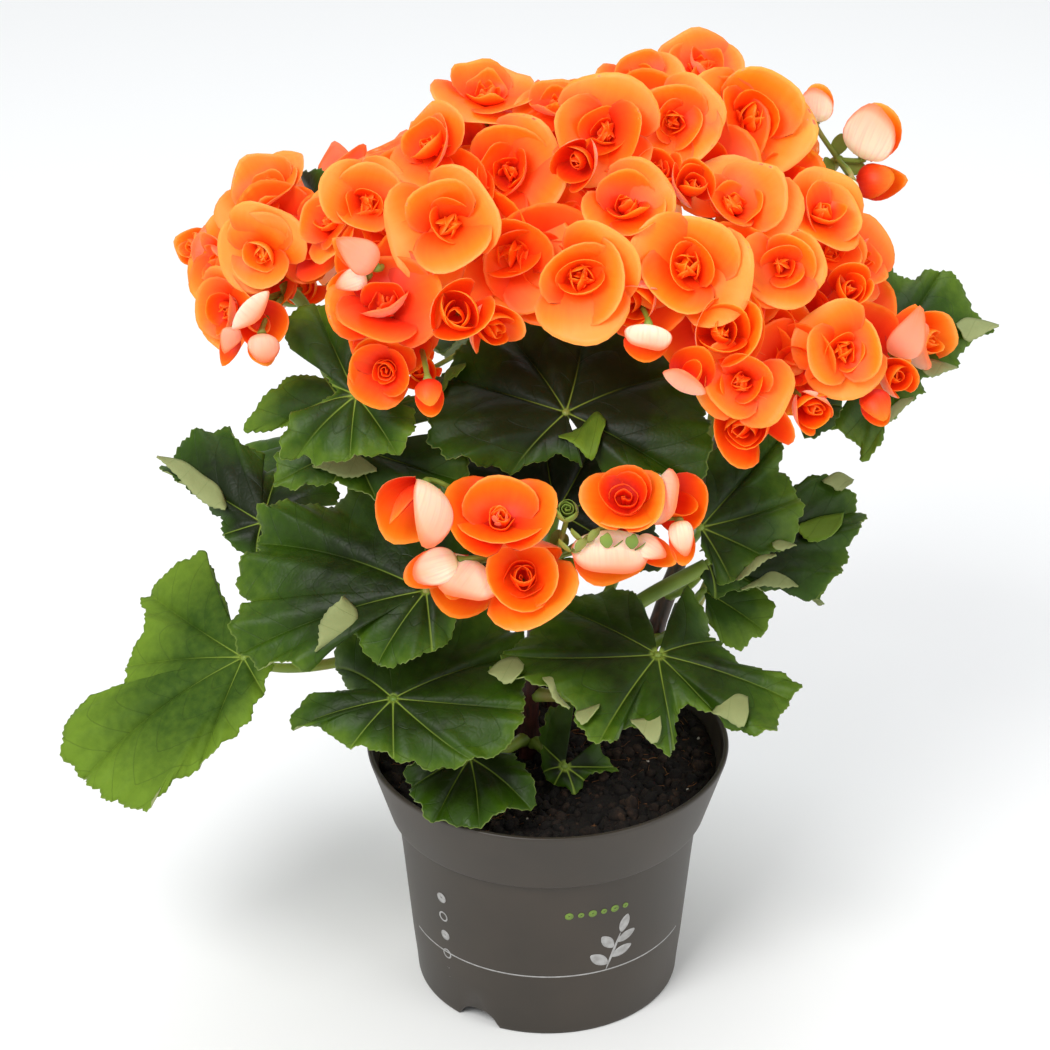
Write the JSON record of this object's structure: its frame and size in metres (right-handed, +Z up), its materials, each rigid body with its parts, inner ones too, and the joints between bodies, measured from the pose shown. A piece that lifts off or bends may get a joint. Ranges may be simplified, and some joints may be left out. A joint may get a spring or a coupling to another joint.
{
  "type": "potted begonia",
  "caption": "Bushy begonia with large lobed leaves and a rounded head of double orange blooms, standing in a tapered plastic nursery pot filled with soil.",
  "frame": {"origin": "middle of the pot's underside, on the surface that it stands on", "axes": "+Z up along the pot's axis, -Y towards the front of the plant, +X to its right"},
  "size_m": [0.3256, 0.2199, 0.3519],
  "materials": {
    "pot": "satin moulded plastic",
    "soil": "loose moist peat",
    "stem": "smooth red-brown stem",
    "leaf": "semi-gloss living leaf",
    "bloom": "silky petals on green stalks"
  },
  "bodies": {
    "root": {"pot": "pot", "soil": "soil", "stem_front": "stem", "stem_right": "stem", "stem_left": "stem", "stem_back": "stem", "leaf_far_left": "leaf", "leaf_left_large": "leaf", "leaf_lower_left": "leaf", "leaf_front_right": "leaf", "leaf_over_rim": "leaf", "leaf_young": "leaf", "leaf_left_curled": "leaf", "leaf_left_upper": "leaf", "leaf_left_behind": "leaf", "leaf_left_inner": "leaf", "leaf_centre": "leaf", "leaf_inner": "leaf", "leaf_right_large": "leaf", "leaf_right_curled": "leaf", "leaf_right_light": "leaf", "leaf_right_upper": "leaf", "leaf_right_under": "leaf", "leaf_upper_left": "leaf", "leaf_back_right_low": "leaf", "leaf_back_low": "leaf", "leaf_back_left_low": "leaf", "leaf_back_left_side": "leaf", "leaf_back_right_high": "leaf", "leaf_back_high": "leaf", "spray_far_left": "bloom", "spray_left": "bloom", "spray_lower_left": "bloom", "spray_upper_left": "bloom", "spray_top": "bloom", "spray_young": "bloom", "spray_middle_left": "bloom", "spray_middle_right": "bloom", "spray_right": "bloom", "spray_lower_right": "bloom", "spray_front": "bloom", "spray_back_left": "bloom", "spray_crown": "bloom", "spray_back": "bloom", "spray_back_right": "bloom"}
  },
  "joints": []
}
